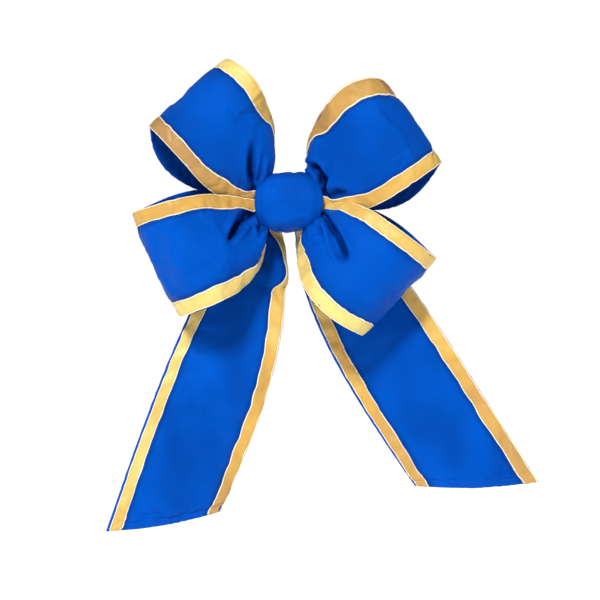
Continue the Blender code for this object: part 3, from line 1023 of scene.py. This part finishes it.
def make_back():
    """Felt pad with a whipped edge."""
    mesh = bmesh.new()
    bmesh.ops.create_cube(mesh, size=1)
    size = PAD_HIGH - PAD_LOW
    centre = (PAD_HIGH + PAD_LOW) / 2
    bmesh.ops.scale(mesh, vec=size, verts=mesh.verts)
    upright = [e for e in mesh.edges if abs(e.verts[0].co.y - e.verts[1].co.y) > size.y / 2]
    bmesh.ops.bevel(mesh, geom=upright, offset=6 * MM, segments=8, profile=0.5, affect="EDGES")
    rims = [e for e in mesh.edges if abs(e.verts[0].co.y - e.verts[1].co.y) < 1e-6]
    bmesh.ops.bevel(mesh, geom=rims, offset=0.5 * MM, segments=3, profile=0.5, affect="EDGES")
    bmesh.ops.translate(mesh, vec=centre, verts=mesh.verts)
    data = bpy.data.meshes.new("felt_back_pad")
    mesh.to_mesh(data)
    mesh.free()
    pad = bpy.data.objects.new("felt_back_pad", data)
    bpy.context.scene.collection.objects.link(pad)
    dress(pad, "knot", NAVY_FELT, ("back_pad",))
    half_x, half_z, corner = size.x / 2 / MM - 2.2, size.z / 2 / MM - 2.2, 4
    line = []
    for cx, cz, first in ((1, 1, 0), (-1, 1, 90), (-1, -1, 180), (1, -1, 270)):
        for step in range(7):
            a = math.radians(first + 15 * step)
            x = cx * (half_x - corner) + corner * math.cos(a)
            z = cz * (half_z - corner) + corner * math.sin(a)
            line.append((x, 0.1, z))
    line.append(line[0])
    stitches("pad_stitches", np.array(line), 3.0, 2.2, 0.3, "knot")


def make_hanger():
    """Flat woven loop, sewn down behind the knot at both feet."""
    low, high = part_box("hanging_loop")
    half = 1.1
    leg = (high.x - low.x) / 2 / MM - half
    foot = low.z / MM
    top = high.z / MM - half - leg
    angles = np.linspace(0, math.pi, 25)
    arc = np.stack([leg * np.cos(angles), top + leg * np.sin(angles)], axis=1)
    up = np.stack([np.full(6, leg), np.linspace(foot, top, 7)[:-1]], axis=1)
    down = np.stack([np.full(6, -leg), np.linspace(top, foot, 7)[1:]], axis=1)
    line = np.concatenate([up, arc, down])
    along = np.gradient(line, axis=0)
    along /= np.linalg.norm(along, axis=1, keepdims=True)
    outward = np.stack([along[:, 1], -along[:, 0]], axis=1)
    depth = (high.y - low.y) / MM
    sides = 24
    turn = np.linspace(0, 2 * math.pi, sides, endpoint=False)
    wide = half * np.copysign(np.abs(np.cos(turn)) ** 0.5, np.cos(turn))
    thick = depth / 2 * np.copysign(np.abs(np.sin(turn)) ** 0.5, np.sin(turn))
    profile = list(zip(wide, thick))
    grid = np.array(
        [
            [(p[0] + o[0] * a, -depth / 2 + b, p[1] + o[1] * a) for a, b in profile]
            for p, o in zip(line, outward)
        ]
    )
    walked = np.concatenate([[0], np.cumsum(np.linalg.norm(np.diff(line, axis=0), axis=1))])
    around = np.tile(np.arange(sides) * 0.4, (len(line), 1))
    uv = np.stack([around, np.repeat(walked[:, None], sides, axis=1)], axis=2)
    obj = mesh_object("webbing_hanger", grid, uv=uv)
    fix_normals(obj)
    dress(obj, "knot", webbing("navy_webbing"), ("hanging_loop",))


def webbing(name):
    shader = Shader(name, Roughness=0.8)
    uv = shader.node("UVMap").outputs[0]
    height = shader.weave(uv, 0.9)
    dark, light = colour(8, 40, 110), colour(22, 78, 180)
    shader.put(shader.mix(shader.ramp(height, -1, 1), dark, light), shader.main.inputs["Base Color"])
    shader.put(shader.bump(height, 0.0003, 0.8), shader.main.inputs["Normal"])
    return shader.material


# ---------------------------------------------------------------- studio


# How far the floor lies below the bow, and half its width, in metres.
FLOOR_DROP, FLOOR_HALF_WIDTH = 0.26, 14


def make_floor():
    """Plain pale floor a little below the tails."""
    mesh = bmesh.new()
    bmesh.ops.create_grid(mesh, x_segments=8, y_segments=8, size=FLOOR_HALF_WIDTH)
    data = bpy.data.meshes.new("studio_floor")
    mesh.to_mesh(data)
    mesh.free()
    floor = bpy.data.objects.new("studio_floor", data)
    floor.location = (0, 0, CAD_BOX[0].z - FLOOR_DROP)
    bpy.context.scene.collection.objects.link(floor)
    shader = Shader("pale_floor", Roughness=0.9, Emission_Strength=0.5)
    shader.main.inputs["Emission Color"].default_value = (1, 1, 1, 1)
    place = shader.node("TexCoord").outputs["Object"]
    cloudy = shader.noise(place, 3.0, 2.0)
    pale = shader.mix(cloudy, (0.93, 0.93, 0.93, 1), (0.96, 0.96, 0.96, 1))
    shader.put(pale, shader.main.inputs["Base Color"])
    floor.data.materials.append(shader.material)


def make_sun(name, azimuth, elevation, strength, softness):
    """Distant soft light, azimuth in degrees to the viewer's right of straight in front."""
    data = bpy.data.lights.new(name, "SUN")
    data.energy = strength
    data.angle = math.radians(softness)
    light = bpy.data.objects.new(name, data)
    a, e = math.radians(azimuth), math.radians(elevation)
    place = Vector((math.sin(a) * math.cos(e), -math.cos(a) * math.cos(e), math.sin(e)))
    light.location = place * 3
    light.rotation_mode = "QUATERNION"
    light.rotation_quaternion = (-place).to_track_quat("-Z", "Y")
    bpy.context.scene.collection.objects.link(light)


def make_studio():
    """White surroundings that light the bow only a little, a soft key sun and a weak fill sun."""
    lit, seen = 0.17, 1.0
    world = bpy.data.worlds.new("studio")
    bpy.context.scene.world = world
    world.use_nodes = True
    tree = world.node_tree
    background = tree.nodes["Background"]
    background.inputs["Color"].default_value = (1, 1, 1, 1)
    path = tree.nodes.new("ShaderNodeLightPath")
    strength = tree.nodes.new("ShaderNodeMapRange")
    strength.inputs["To Min"].default_value = lit
    strength.inputs["To Max"].default_value = seen
    tree.links.new(path.outputs["Is Camera Ray"], strength.inputs["Value"])
    tree.links.new(strength.outputs[0], background.inputs["Strength"])
    make_sun("key", -14, 36, 2.8, 10)
    make_sun("fill", 35, 10, 0.22, 60)
    bpy.context.scene.view_settings.view_transform = "Standard"


def make_camera():
    """Level and square to the bow's front, far enough back to be almost flat."""
    distance, seen = 3.0, 0.75
    centre_x, centre_z = 0.0144, -0.1225
    data = bpy.data.cameras.new("camera")
    data.sensor_width = 36
    data.lens = data.sensor_width * distance / seen
    camera = bpy.data.objects.new("camera", data)
    camera.location = (centre_x, KNOT_Y * MM - distance, centre_z)
    camera.rotation_euler = (math.pi / 2, 0, 0)
    bpy.context.scene.collection.objects.link(camera)
    bpy.context.scene.camera = camera


make_camera()
make_studio()
make_floor()
make_knot()
make_core()
make_back()
make_hanger()
for number, (loop_side, loop_shape) in enumerate(LOOPS.items()):
    make_loop(loop_side, loop_shape, number + 1)
for number, (tail_side, tail_shape) in enumerate(TAILS.items()):
    make_tail(tail_side, tail_shape, number + 11)
